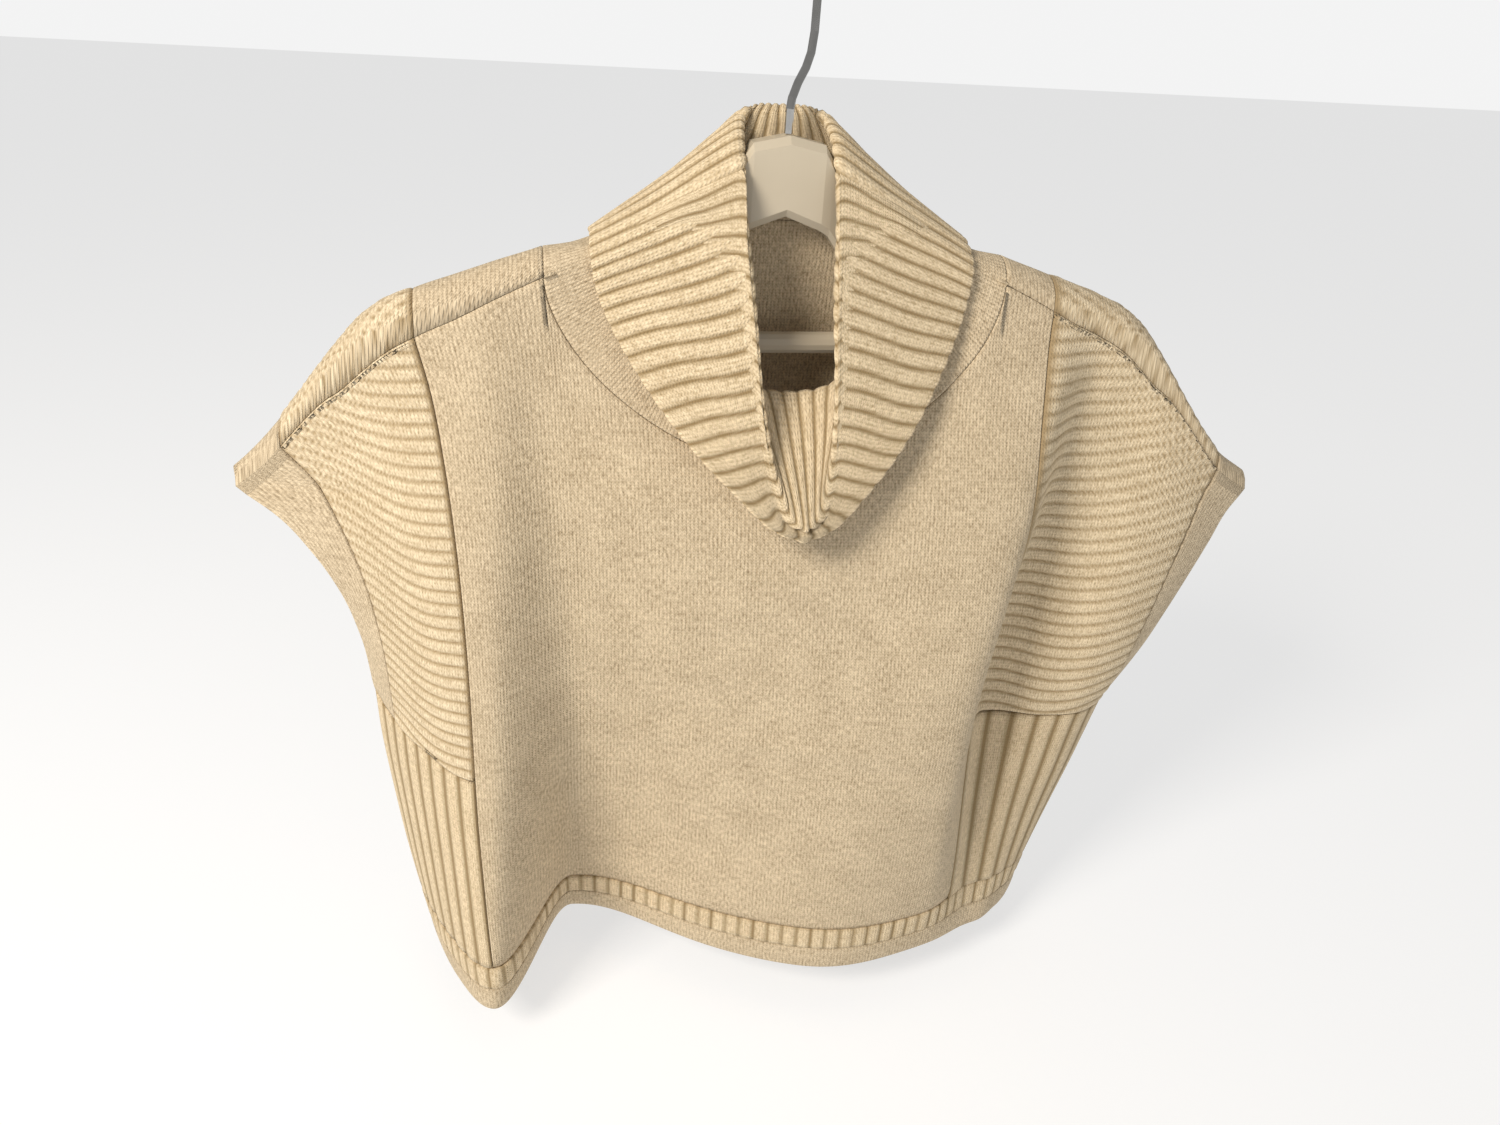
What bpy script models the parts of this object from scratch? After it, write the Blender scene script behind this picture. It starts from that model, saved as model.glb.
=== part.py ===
"""Sleeveless turtleneck sweater hanging on a moulded hanger, in Blender 4.5.

Sizes are in millimetres. x runs to the viewer's right, y away from the viewer, and a drop is measured
down from the top of the hanger's body. The model's origin is inside the hook, where a rail bears.
Every piece of cloth is a wall: one sheet of points on its outer face, and the same sheet moved in.
"""

import math

import bmesh
import bpy
import numpy as np

MM = 0.001
SEAM_GAP = 0.35

# The hook and the hanger
HOOK_DROP = 104.0
HOOK_WIRE = 4.5
HOOK_INNER_RADIUS = 22.0
HOOK_SWIVEL = math.radians(52.0)
BAR_DIAMETER = 12.0
BAR_DROP = 109.0
BAR_HALF_LENGTH = 185.0

# The cloth
WALL = 2.4
COLLAR_WALL = 2.0
RIB_RAISE = 0.9
HEM_DROP = 500.0
TIP_LEFT = 290.0
TIP_RIGHT = 312.0
HEM_LEFT = 208.0
HEM_RIGHT = 203.0
TIP_DROP = 186.0
UNDERARM_LEFT = 322.0
UNDERARM_RIGHT = 348.0
UNDERARM_MID = 350.0
NECK_HALF = 126.0
NECK_SIDE_DROP = 72.0
NECK_FRONT_DROP = 170.0
NECK_BACK_DROP = 45.0
NECK_POWER = 1.7
SIDE_POWER = 5.0
ARMHOLE_HALF_GAP = 17.0
SIDE_HALF_GAP = 0.6
INSERT_LEFT = 0.66
INSERT_RIGHT = 0.50
BAND_WIDTH = 26.0
BAND_WALL = 2.0
COURSE_FALL = 26.0
HEM_RIB = 15.0
HEM_TUBE = 14.0

# How many of each repeat there are
INSERT_RIDGES = 19
SIDE_RIBS = 8
COLLAR_RIBS = 48
HEM_RIBS = 88

# Rows of the cloth from the shoulder to the underarm, and columns of the front half of the neck
UPPER = np.linspace(0, 1, 9)
LOWER_ROWS = 5
NECK_COLUMNS = 8


def table(columns, rows):
    """The named columns of a short table, as arrays."""
    return dict(zip(columns.split(), np.array(rows, float).T))


def smooth(x, xs, ys):
    """A smooth curve through a table's points, level beyond its ends."""
    x = np.clip(np.asarray(x, float), xs[0], xs[-1])
    slope = np.gradient(ys, xs)
    i = np.clip(np.searchsorted(xs, x) - 1, 0, len(xs) - 2)
    h = xs[i + 1] - xs[i]
    t = (x - xs[i]) / h
    start = (1 + 2 * t) * (1 - t) ** 2 * ys[i] + t * (1 - t) ** 2 * h * slope[i]
    end = t**2 * (3 - 2 * t) * ys[i + 1] - t**2 * (1 - t) * h * slope[i + 1]
    return start + end


def ease(low, high, x):
    t = np.clip((x - low) / (high - low), 0, 1)
    return t * t * (3 - 2 * t)


SHOULDER = table(
    "x drop nose seam",
    [
        (0, 31, 13, 13),
        (60, 37, 13, 13),
        (98, 47, 13, 13),
        (126, 59, 13, 13),
        (150, 67, 13, 16),
        (170, 74, 13, 19),
        (190, 81, 13, 21),
        (208, 89, 13, 23),
        (220, 98, 11, 24),
        (230, 109, 9, 22),
        (240, 121, 8, 17),
        (255, 140, 7, 13),
        (272, 160, 6.5, 12),
        (290, 177, 6, 11),
        (312, 191, 6, 10),
    ],
)

EDGES = table(
    "drop left right",
    [
        (186, 290, 312),
        (200, 271, 301),
        (222, 253, 291),
        (247, 240, 281),
        (274, 233, 272),
        (322, 230, 259),
        (348, 229, 250),
        (391, 225, 238),
        (440, 219, 222),
        (486, 211, 207),
        (500, 208, 203),
    ],
)

FULLNESS = table(
    "drop front back",
    [
        (60, 0, 0),
        (100, 4, 4),
        (140, 14, 8),
        (190, 31, 14),
        (250, 42, 20),
        (330, 50, 28),
        (420, 53, 34),
        (500, 55, 38),
    ],
)

# A fold runs down the cloth. It is x mm across and out mm proud (or sunk) at three drops.
FOLD_DROPS = np.array([120.0, 310.0, 500.0])
FRONT_FOLDS = table(
    "x_high x_mid x_low out_high out_mid out_low left right",
    [
        (-152, -162, -168, 3, 12, 32, 26, 15),
        (-132, -110, -116, -3, -20, -62, 18, 52),
        (60, 55, 52, 0, 6, 16, 40, 45),
        (158, 120, 106, 8, 16, 0, 45, 12),
        (196, 154, 150, -12, -42, -6, 15, 34),
    ],
)
BACK_FOLDS = table(
    "x_high x_mid x_low out_high out_mid out_low left right",
    [
        (-150, -150, -142, 3, 10, 24, 26, 20),
        (-110, -98, -84, -3, -12, -26, 24, 34),
        (0, 6, 12, 2, 5, 10, 34, 34),
        (104, 90, 76, -3, -14, -28, 34, 24),
        (152, 148, 140, 4, 12, 24, 22, 26),
    ],
)

# Half the collar, by the share q of its round from the front middle to the back middle
COLLAR = table(
    "q fold_x fold_y fold_drop edge_x edge_y edge_drop mid_x mid_y mid_drop seam_x seam_y seam_drop",
    [
        (0.00, 0, -74, 190, 0, -73, 197, 0, -25, 130, 0, -34, 153),
        (0.05, 8, -72, 186, 16, -71, 191, 14, -27, 128, 20, -32, 150),
        (0.12, 14, -64, 170, 36, -64, 173, 30, -30, 118, 42, -27, 139),
        (0.25, 19, -50, 132, 64, -48, 143, 48, -26, 96, 68, -18, 115),
        (0.38, 21, -37, 88, 87, -30, 108, 56, -20, 72, 86, -14, 89),
        (0.50, 23, -26, 49, 99, -20, 80, 60, -17, 50, 95, -12.4, 69),
        (0.60, 24, -15, 21, 102, -16, 60, 60, -14, 36, 98, -9, 57),
        (0.68, 24, -2, 4, 101, -1, 50, 62, 1, 31, 98, 3, 55),
        (0.76, 22, 10, -6, 98, 16, 54, 52, 13, 24, 88, 13.2, 51),
        (0.86, 16, 16, -11, 58, 21, 65, 34, 13.6, 12, 58, 13.4, 38),
        (1.00, 0, 17, -12, 0, 22, 72, 0, 13.6, 4, 0, 13.4, 22),
    ],
)
COLLAR_LEAN = 7.0

HANGER_ARM = table(
    "x thick top under",
    [
        (0, 19, 0, 40),
        (19, 19, 4, 47),
        (24, 17, 12, 50),
        (30, 14, 26, 58),
        (44, 14, 41, 66),
        (62, 16, 48, 71),
        (84, 16, 57, 78),
        (108, 16, 63, 84),
        (130, 16, 68, 89),
        (170, 16, 81, 100),
        (185.6, 16, 87, 103),
        (186.6, 16, 88, 118),
        (204, 15, 94, 119),
        (212, 14, 103, 112),
    ],
)


def place(x, y, drop):
    """World points in metres, from millimetres and a drop."""
    return np.stack(np.broadcast_arrays(x, y, -(HOOK_DROP + np.asarray(drop))), -1) * MM


def shoulder(x, column):
    return smooth(np.abs(x), SHOULDER["x"], SHOULDER[column])


def tip(u):
    return np.where(u < 0, TIP_LEFT, TIP_RIGHT)


def underarm(u):
    side = np.where(u < 0, UNDERARM_LEFT, UNDERARM_RIGHT)
    return UNDERARM_MID + (side - UNDERARM_MID) * np.abs(u) ** 4


def edge_drop(u, w):
    """Drop of the garment's side edge at w: 0 at the shoulder, 1 at the underarm, 2 at the hem."""
    side = np.where(u < 0, UNDERARM_LEFT, UNDERARM_RIGHT)
    return np.where(w < 1, TIP_DROP + (side - TIP_DROP) * w, side + (HEM_DROP - side) * (w - 1))


def across(u, w):
    """x of the column u (-1 at the left edge, 1 at the right) at the level w."""
    reach = edge_drop(u, w)
    edge = np.where(u < 0, smooth(reach, EDGES["drop"], EDGES["left"]), smooth(reach, EDGES["drop"], EDGES["right"]))
    low = np.where(u < 0, HEM_LEFT, HEM_RIGHT)
    share = (tip(u) - edge) / (tip(u) - low)
    spread = u * (1 + 0.35 * (1 - u * u))
    return (1 - share) * tip(u) * u + share * low * spread


def neck_front(x):
    t = np.clip(np.abs(x) / NECK_HALF, 0, 1)
    return NECK_SIDE_DROP + (NECK_FRONT_DROP - NECK_SIDE_DROP) * (1 - t**NECK_POWER) ** (1 / NECK_POWER)


def neck_back(x):
    t = np.clip(np.abs(x) / NECK_HALF, 0, 1)
    return NECK_BACK_DROP + (NECK_SIDE_DROP - NECK_BACK_DROP) * t**2


def top_front(u):
    x = tip(u) * u
    seam = shoulder(x, "drop") + shoulder(x, "seam") + SEAM_GAP
    return np.where(np.abs(x) < NECK_HALF, neck_front(x), seam)


def top_back(u):
    x = tip(u) * u
    nose = shoulder(x, "drop") + shoulder(x, "nose")
    return np.where(np.abs(x) < NECK_HALF, neck_back(x), nose)


def level(u, drop, top):
    """w of a drop on the column u, whose cloth starts at the drop top."""
    under = underarm(u)
    return np.where(drop < under, (drop - top) / (under - top), 1 + (drop - under) / (HEM_DROP - under))


def drop_at(u, w, top):
    under = underarm(u)
    return np.where(w < 1, top + (under - top) * w, under + (HEM_DROP - under) * (w - 1))


def folds(rows, x, drop):
    """How far the folds push the cloth out at x and drop."""
    total = np.zeros(np.broadcast(x, drop).shape)
    for k in range(len(rows["left"])):
        crest = smooth(drop, FOLD_DROPS, np.array([rows["x_high"][k], rows["x_mid"][k], rows["x_low"][k]]))
        out = smooth(drop, FOLD_DROPS, np.array([rows["out_high"][k], rows["out_mid"][k], rows["out_low"][k]]))
        off = x - crest
        width = np.where(off < 0, rows["left"][k], rows["right"][k])
        total = total + out * np.exp(-0.5 * (off / width) ** 2)
    return total


def depth(u, x, drop, front):
    """How far the cloth's outer face stands from the hanger's middle plane."""
    top_x = tip(u) * u
    nose = shoulder(top_x, "nose")
    below = drop - shoulder(top_x, "drop")
    round_over = np.sqrt(np.clip(1 - (1 - np.clip(below / nose, 0, 1)) ** 2, 0, 1))
    side = np.where(u < 0, UNDERARM_LEFT, UNDERARM_RIGHT)
    t = np.clip((drop - TIP_DROP) / (side - TIP_DROP), 0, 1)
    gap = ARMHOLE_HALF_GAP * np.sin(np.pi * t) ** 0.7 + SIDE_HALF_GAP
    middle = 1 - np.abs(u) ** SIDE_POWER
    fullness = smooth(drop, FULLNESS["drop"], FULLNESS["front" if front else "back"])
    fold = folds(FRONT_FOLDS if front else BACK_FOLDS, x, drop) * (1 - np.abs(u) ** 10) * ease(0, 60, below)
    return round_over * (gap * (1 - middle) + (nose + fullness) * middle) + fold


def body(u, drop, front, top=None):
    """Points on the outer face of the front or the back, at column u and a drop."""
    u = np.asarray(u, float)
    if top is None:
        top = top_front(u) if front else top_back(u)
    w = np.clip(level(u, drop, top), 0, 2)
    x = across(u, w)
    y = depth(u, x, drop, front)
    return place(x, -y if front else y, drop)


def outward(u, drop, front, top=None):
    """The outer face's normals there, from points a hair apart."""
    u = np.asarray(u, float)
    if top is None:
        top = top_front(u) if front else top_back(u)
    along = body(u + 0.001, drop, front, top) - body(u - 0.001, drop, front, top)
    down = body(u, drop + 0.05, front, top) - body(u, np.maximum(drop - 0.05, top), front, top)
    normal = np.cross(down, along) if front else np.cross(along, down)
    return unit(normal)


def unit(v):
    return v / np.maximum(np.linalg.norm(v, axis=-1, keepdims=True), 1e-12)


def new_object(name, vertices, faces, material, collection):
    mesh = bpy.data.meshes.new(name)
    mesh.from_pydata([tuple(v) for v in vertices], [], faces)
    mesh.validate()
    mesh.materials.append(material)
    work = bmesh.new()
    work.from_mesh(mesh)
    bmesh.ops.recalc_face_normals(work, faces=work.faces[:])
    work.to_mesh(mesh)
    work.free()
    mesh.shade_smooth()
    obj = bpy.data.objects.new(name, mesh)
    collection.objects.link(obj)
    return obj


def grid_faces(rows, columns, index=None, closed=False):
    """Quads of a grid. index gives each place its vertex, and places that share one close up."""
    if index is None:
        index = np.arange(rows * columns).reshape(rows, columns)
    faces = []
    for r in range(rows - 1):
        for c in range(columns if closed else columns - 1):
            d = (c + 1) % columns
            loop = [index[r, c], index[r + 1, c], index[r + 1, d], index[r, d]]
            loop = [int(v) for k, v in enumerate(loop) if v != loop[k - 1]]
            if len(set(loop)) > 2 and min(loop) >= 0:
                faces.append(tuple(loop))
    return faces


def normals_of(points, faces):
    total = np.zeros_like(points)
    for face in faces:
        corner = points[list(face)]
        turn = np.cross(corner - np.roll(corner, 1, 0), np.roll(corner, -1, 0) - corner).sum(0)
        total[list(face)] += turn
    size = np.linalg.norm(total, axis=1, keepdims=True)
    return total / np.where(size > 0, size, 1)


def wall(name, points, faces, material, collection, thick=WALL, raised=None, normals=None, facing=None, side=None):
    """A closed wall on an open sheet: raised outer points over a plain inside, and a rim at each edge.

    normals are the form's own, so that neighbours agree along a seam; side (-1, 0 or 1 at each point)
    keeps the inside on its own side of the side seams' plane.
    """
    if normals is None:
        normals = normals_of(points, faces)
        normals *= np.where((normals * facing).sum(1).mean() < 0, -1.0, 1.0)
    inner = points - normals * thick * MM
    if side is not None:
        least = 0.5 * SEAM_GAP * MM
        inner[:, 1] = np.where(side < 0, np.minimum(inner[:, 1], -least), inner[:, 1])
        inner[:, 1] = np.where(side > 0, np.maximum(inner[:, 1], least), inner[:, 1])
    outer = points if raised is None else points + normals * raised[:, None] * MM
    count = len(points)
    used = {}
    for face in faces:
        for a, b in zip(face, face[1:] + face[:1]):
            used[(a, b)] = used.get((a, b), 0) + 1
    solid = [tuple(face) for face in faces]
    solid += [tuple(v + count for v in reversed(face)) for face in faces]
    for a, b in used:
        if (b, a) not in used:
            solid.append((b, a, a + count, b + count))
    keep = sorted({v for face in solid for v in face})
    renumber = {v: k for k, v in enumerate(keep)}
    solid = [tuple(renumber[v] for v in face) for face in solid]
    return new_object(name, np.vstack([outer, inner])[keep], solid, material, collection)


def zigzag(count):
    """0 and 1 by turns: the furrows and crests of ribs that run along a grid's lines."""
    return np.arange(count) % 2


class Sheet:
    """Rows of points with their normals, on the front's (-1) or the back's (1) side of the side seams."""

    def __init__(self, points, normals, side):
        self.points = np.array(points)
        self.normals = np.array(normals)
        self.side = np.full(self.points.shape[:2], side) if np.isscalar(side) else side

    def join(self, other):
        self.points = np.vstack([self.points, other.points])
        self.normals = np.vstack([self.normals, other.normals])
        self.side = np.vstack([self.side, other.side])
        return self

    def flip(self):
        return Sheet(self.points[::-1], self.normals[::-1], self.side[::-1])

    def wall(self, name, faces, material, collection, raised=None, thick=WALL):
        flat = self.points.reshape(-1, 3)
        lift = None if raised is None else raised.ravel()
        normals = self.normals.reshape(-1, 3)
        side = self.side.ravel()
        return wall(name, flat, faces, material, collection, thick, lift, normals, None, side)


def cloth_rows(u, levels, front):
    top = top_front(u) if front else top_back(u)
    drops = [drop_at(u, w, top) for w in levels]
    points = [body(u, drop, front) for drop in drops]
    normals = [outward(u, drop, front) for drop in drops]
    if levels[-1] == hem_level():
        normals[-1] = unit(normals[-1] * np.array([1, 1, 0]))
    return Sheet(points, normals, -1 if front else 1)


def wrap_rows(u):
    """Rows of the back's cloth that come over the shoulder, from the forward seam to the back."""
    x = tip(u) * u
    ridge = shoulder(x, "drop")
    nose = shoulder(x, "nose")
    seam = shoulder(x, "seam")
    points = []
    normals = []
    for front, drop in (
        (True, ridge + seam),
        (True, ridge + nose * 0.55),
        (True, ridge + nose * 0.12),
        (False, ridge),
        (False, ridge + nose * 0.12),
        (False, ridge + nose * 0.55),
    ):
        top = ridge + (seam if front else nose)
        points.append(body(u, drop, front, top))
        normals.append(outward(u, drop, front, np.minimum(top, drop - 1)))
    slope = np.gradient(ridge, x) if len(u) > 1 else np.zeros(1)
    normals[3] = unit(np.stack([slope, 0 * slope, np.ones_like(slope)], -1))
    return Sheet(points, normals, 0)


def panel_columns():
    """Columns of the front and back panels, which share the neck's own columns."""
    neck = neck_x()
    left = np.linspace(-INSERT_LEFT, -NECK_HALF / TIP_LEFT, 5)
    right = np.linspace(NECK_HALF / TIP_RIGHT, INSERT_RIGHT, 3)
    return np.r_[left[:-1], -neck[::-1] / TIP_LEFT, neck[1:] / TIP_RIGHT, right[1:]]


def neck_x():
    return NECK_HALF * np.sin(np.linspace(0, np.pi / 2, NECK_COLUMNS + 1))


def lower_levels():
    return np.linspace(1, hem_level(), LOWER_ROWS)


def front_panel(material, collection):
    sheet = cloth_rows(panel_columns(), np.r_[UPPER, lower_levels()[1:]], True)
    faces = grid_faces(*sheet.points.shape[:2])
    return sheet.wall("front_panel", faces, material, collection)


def back_panel(material, collection):
    u = panel_columns()
    sheet = wrap_rows(u).join(cloth_rows(u, np.r_[UPPER, lower_levels()[1:]], False))
    rows, columns = sheet.points.shape[:2]
    index = np.arange(rows * columns).reshape(rows, columns)
    over_neck = np.abs(tip(u) * u) < NECK_HALF - 0.01
    index[:6, over_neck] = -1
    return sheet.wall("back_panel", grid_faces(rows, columns, index), material, collection)


def hem_level():
    """w where the panels end and the hem's ribs start, on the middle column."""
    return 1 + (HEM_DROP - HEM_TUBE - HEM_RIB - SEAM_GAP - UNDERARM_MID) / (HEM_DROP - UNDERARM_MID)


def insert_edge(side):
    """The share of the half width where the insert starts, a seam's gap past the plain panel."""
    edge, reach = (INSERT_LEFT, TIP_LEFT) if side < 0 else (INSERT_RIGHT, TIP_RIGHT)
    return edge + 1.2 * SEAM_GAP / reach


def insert_columns(side):
    """Columns from the plain panel to the armhole's band, closer over the hanger's end."""
    reach = float(tip(np.array(side)))
    first = insert_edge(side)
    last = 1 - (BAND_WIDTH + 1.7 * SEAM_GAP) / reach
    middle = [198 / reach, 210 / reach, 221 / reach, 236 / reach]
    if side > 0:
        middle = [0.5 * (first + middle[0]), *middle, 0.5 * (middle[-1] + last)]
    return side * np.array([first, *middle, last])


def insert(side, front, material, collection):
    """A side insert: its courses run across, and the shoulder seam cuts the upper ones off."""
    u = insert_columns(side)
    columns = len(u)
    top = top_front(u) if front else top_back(u)
    under = underarm(u) - SEAM_GAP
    coarse = cloth_rows(u, UPPER, front)
    share = np.linspace(0, 1, columns)
    rows = 2 * INSERT_RIDGES + 1
    courses = np.linspace(top[0] - COURSE_FALL * share**2, under, rows)
    raised = np.repeat(zigzag(rows)[:, None], columns, 1) * RIB_RAISE
    raised[0] = 0
    raised[-1] = 0
    clipped = courses <= top + 1.2
    index = np.arange(rows * columns).reshape(rows, columns)
    points = np.zeros((rows, columns, 3))
    normals = np.zeros((rows, columns, 3))
    for c in range(columns):
        last = int(clipped[:, c].sum()) - 1
        if last >= 0:
            index[: last + 1, c] = index[last, c]
            courses[: last + 1, c] = top[c]
            raised[: last + 1, c] = 0
        known = drop_at(u[c], UPPER, top[c])
        for axis in range(3):
            points[:, c, axis] = np.interp(courses[:, c], known, coarse.points[:, c, axis])
            normals[:, c, axis] = np.interp(courses[:, c], known, coarse.normals[:, c, axis])
    sheet = Sheet(points, unit(normals), -1 if front else 1)
    if not front:
        over = wrap_rows(u)
        index = np.vstack([np.arange(over.side.size).reshape(-1, columns), index + over.side.size])
        raised = np.vstack([np.zeros(over.side.shape), raised])
        sheet = over.join(sheet)
    name = f"insert_{'front' if front else 'back'}_{'left' if side < 0 else 'right'}"
    return sheet.wall(name, grid_faces(*index.shape, index), material, collection, raised)


def side_rib(side, front, material, collection):
    """The wide upright ribs between an insert and the hem."""
    u = side * np.linspace(insert_edge(side), 1, 2 * SIDE_RIBS + 1)
    sheet = cloth_rows(u, lower_levels(), front)
    rows, columns = sheet.side.shape
    raised = np.repeat(zigzag(columns)[None], rows, 0) * RIB_RAISE
    name = f"side_rib_{'front' if front else 'back'}_{'left' if side < 0 else 'right'}"
    return sheet.wall(name, grid_faces(rows, columns), material, collection, raised)


def armhole_band(side, material, collection):
    """One strip up the front of the armhole, over the shoulder's tip and down the back."""
    reach = float(tip(np.array(side)))
    u = side * np.array([1 - BAND_WIDTH / reach, 1 - 0.45 * BAND_WIDTH / reach, 1])
    end = 1 - 2.5 * SEAM_GAP / 150
    front = cloth_rows(u, [*UPPER[1:-1], end], True).flip()
    back = cloth_rows(u, [*UPPER[:-1], end], False)
    sheet = front.join(wrap_rows(u)).join(back)
    name = f"armhole_band_{'left' if side < 0 else 'right'}"
    return sheet.wall(name, grid_faces(*sheet.side.shape), material, collection, thick=BAND_WALL)


def ring_u(count, power=1.0):
    """Columns right round the garment: across the front, then back across the back."""
    t = np.linspace(0, 1, count // 2 + 1)[:-1]
    sweep = -np.cos(np.pi * t)
    even = 2 * t - 1
    return (1 - power) * even + power * sweep


def hem_ring(name, drops, count, material, collection, raised, thick):
    u = ring_u(count, 0.45)
    front = np.array([body(u, drop, True) for drop in drops])
    back = np.array([body(-u, drop, False) for drop in drops])
    points = np.concatenate([front, back], 1)
    rows, columns = points.shape[:2]
    lift = np.zeros((rows, columns))
    if raised:
        lift[:] = zigzag(columns) * RIB_RAISE
    front = np.array([outward(u, drop, True) for drop in drops])
    back = np.array([outward(-u, drop, False) for drop in drops])
    normals = np.concatenate([front, back], 1) * np.array([1, 1, 0])
    ends = (0, columns // 2)
    normals[:, ends] = np.array([[-1, 0, 0], [1, 0, 0]])
    faces = grid_faces(rows, columns, closed=True)
    return wall(
        name,
        points.reshape(-1, 3),
        faces,
        material,
        collection,
        thick=thick,
        raised=lift.ravel(),
        normals=unit(normals).reshape(-1, 3),
    )


def hem_rib(material, collection):
    low = HEM_DROP - HEM_TUBE - SEAM_GAP
    drops = [low - HEM_RIB + SEAM_GAP, low]
    return hem_ring("hem_rib", drops, 2 * HEM_RIBS, material, collection, True, WALL)


def hem_tube(material, collection):
    drops = [HEM_DROP - HEM_TUBE, HEM_DROP - 0.55 * HEM_TUBE, HEM_DROP]
    return hem_ring("hem_tube", drops, 76, material, collection, False, WALL + 0.6)


def around(q):
    """The share of the collar's round as a side (-1 left, 1 right) and a table place."""
    q = np.mod(q, 2.0)
    return np.where(q <= 1, 1.0, -1.0), np.where(q <= 1, q, 2 - q)


def collar_line(q, kind):
    side, share = around(q)
    x = smooth(share, COLLAR["q"], COLLAR[kind + "_x"])
    y = smooth(share, COLLAR["q"], COLLAR[kind + "_y"])
    drop = smooth(share, COLLAR["q"], COLLAR[kind + "_drop"])
    lean = COLLAR_LEAN * ease(20, 190, drop)
    return place(side * x + lean, y, drop)


def collar(material, collection):
    """The rib tube: up from the neck seam, over the fold, and down to its free edge."""
    columns = 2 * COLLAR_RIBS
    q = np.arange(columns) * 2.0 / columns
    fold = collar_line(q, "fold")
    edge = collar_line(q, "edge")
    mid = collar_line(q, "mid")
    seam = collar_line(q, "seam")
    between = (fold + edge) / 2
    crown = np.minimum(0.8 * MM, 0.03 * np.linalg.norm(edge - fold, axis=1, keepdims=True))
    outer = between + crown * unit(between - mid)
    along = unit(outer - fold + (mid - fold) * 0.6)
    apart = outer - mid
    apart = unit(apart - along * (apart * along).sum(1, keepdims=True))
    half = 2.5 * MM
    turn = np.minimum(4.0 * MM, 0.3 * np.linalg.norm(outer - fold, axis=1, keepdims=True))
    rows = [
        seam,
        mid,
        0.5 * mid + 0.5 * (fold + along * turn - apart * half),
        fold + along * turn - apart * half,
        fold,
        fold + along * turn + apart * half,
        outer,
        edge,
    ]
    points = np.array(rows)
    raised = np.repeat(zigzag(columns)[None], len(rows), 0) * RIB_RAISE
    raised[0] = 0
    faces = grid_faces(*points.shape[:2], closed=True)
    flat = points.reshape(-1, 3)
    hint = np.zeros_like(points)
    hint[6] = apart
    return wall(
        "collar", flat, faces, material, collection, thick=COLLAR_WALL, raised=raised.ravel(), facing=hint.reshape(-1, 3)
    )


def neck_edge():
    """The body's neck edge, right round from the front middle: points, normals, places on the collar's seam."""
    x = neck_x()
    halves = []
    for side in (1, -1):
        reach = tip(np.array(side))
        over = wrap_rows(np.array([side * NECK_HALF / reach]))
        points = []
        normals = []
        for value in x * side:
            points.append(place(value, -depth(value / reach, value, neck_front(value), True), neck_front(value)))
            normals.append(outward(value / reach, neck_front(value), True))
        points += list(over.points[1:, 0])
        normals += list(over.normals[1:, 0])
        for value in x[::-1] * side:
            points.append(place(value, depth(value / reach, value, neck_back(value), False), neck_back(value)))
            normals.append(outward(value / reach, neck_back(value), False))
        halves.append((np.array(points), np.array(normals)))
    count = NECK_COLUMNS + 1
    shares = np.r_[np.linspace(0, 0.56, count), 0.62, 0.65, 0.68, 0.71, 0.735, np.linspace(0.76, 1, count)]
    loop, normals = (np.vstack([halves[0][k], halves[1][k][1:-1][::-1]]) for k in (0, 1))
    return loop, normals, np.r_[shares, 2 - shares[1:-1][::-1]]


def neck_band(material, collection):
    """A strip from the body's neck edge in to the collar's seam, right round the neck."""
    edge, edge_normals, shares = neck_edge()
    seam = collar_line(shares, "seam")
    in_sheet = seam - edge
    in_sheet -= edge_normals * (in_sheet * edge_normals).sum(1, keepdims=True)
    outer = edge + unit(in_sheet) * 2.4 * SEAM_GAP * MM
    reach = 2.6 * SEAM_GAP + 2.0 * ease(0.6, 0.74, around(shares)[1])
    inner = seam + unit(outer - seam) * reach[:, None] * MM
    points = np.array([outer, (outer + inner) / 2, inner])
    rows, columns = points.shape[:2]
    flat = points.reshape(-1, 3)
    faces = grid_faces(rows, columns, closed=True)
    normals = normals_of(flat, faces).reshape(rows, columns, 3)
    normals *= np.sign((normals[1] * edge_normals).sum(1).mean())
    normals[0] = edge_normals
    normals[1] = unit(normals[1] + edge_normals)
    return wall("neck_band", flat, faces, material, collection, thick=2.0, normals=normals.reshape(-1, 3))


def hanger_body(material, collection):
    """Moulded arms: oblong sections along the shoulders, rounded at their corners."""
    corners = [(-1, 0.25), (-0.66, 0.0), (0.66, 0.0), (1, 0.25), (1, 0.88), (0.66, 1.0), (-0.66, 1.0), (-1, 0.88)]
    arm = np.array([HANGER_ARM[name] for name in ("x", "thick", "top", "under")]).T
    stations = np.vstack([arm[:0:-1] * (-1, 1, 1, 1), arm])
    vertices = []
    for x, thick, top, under in stations:
        for y, share in corners:
            round_off = min(4.0, 0.25 * (under - top))
            drop = {0.25: top + round_off, 0.0: top, 0.88: under - round_off, 1.0: under}[share]
            vertices.append(place(x, y * thick / 2, drop))
    count, ring = len(stations), len(corners)
    faces = grid_faces(count, ring, closed=True)
    faces.append(tuple(range(ring)))
    faces.append(tuple(reversed(range((count - 1) * ring, count * ring))))
    return new_object("hanger_body", vertices, faces, material, collection)


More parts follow.
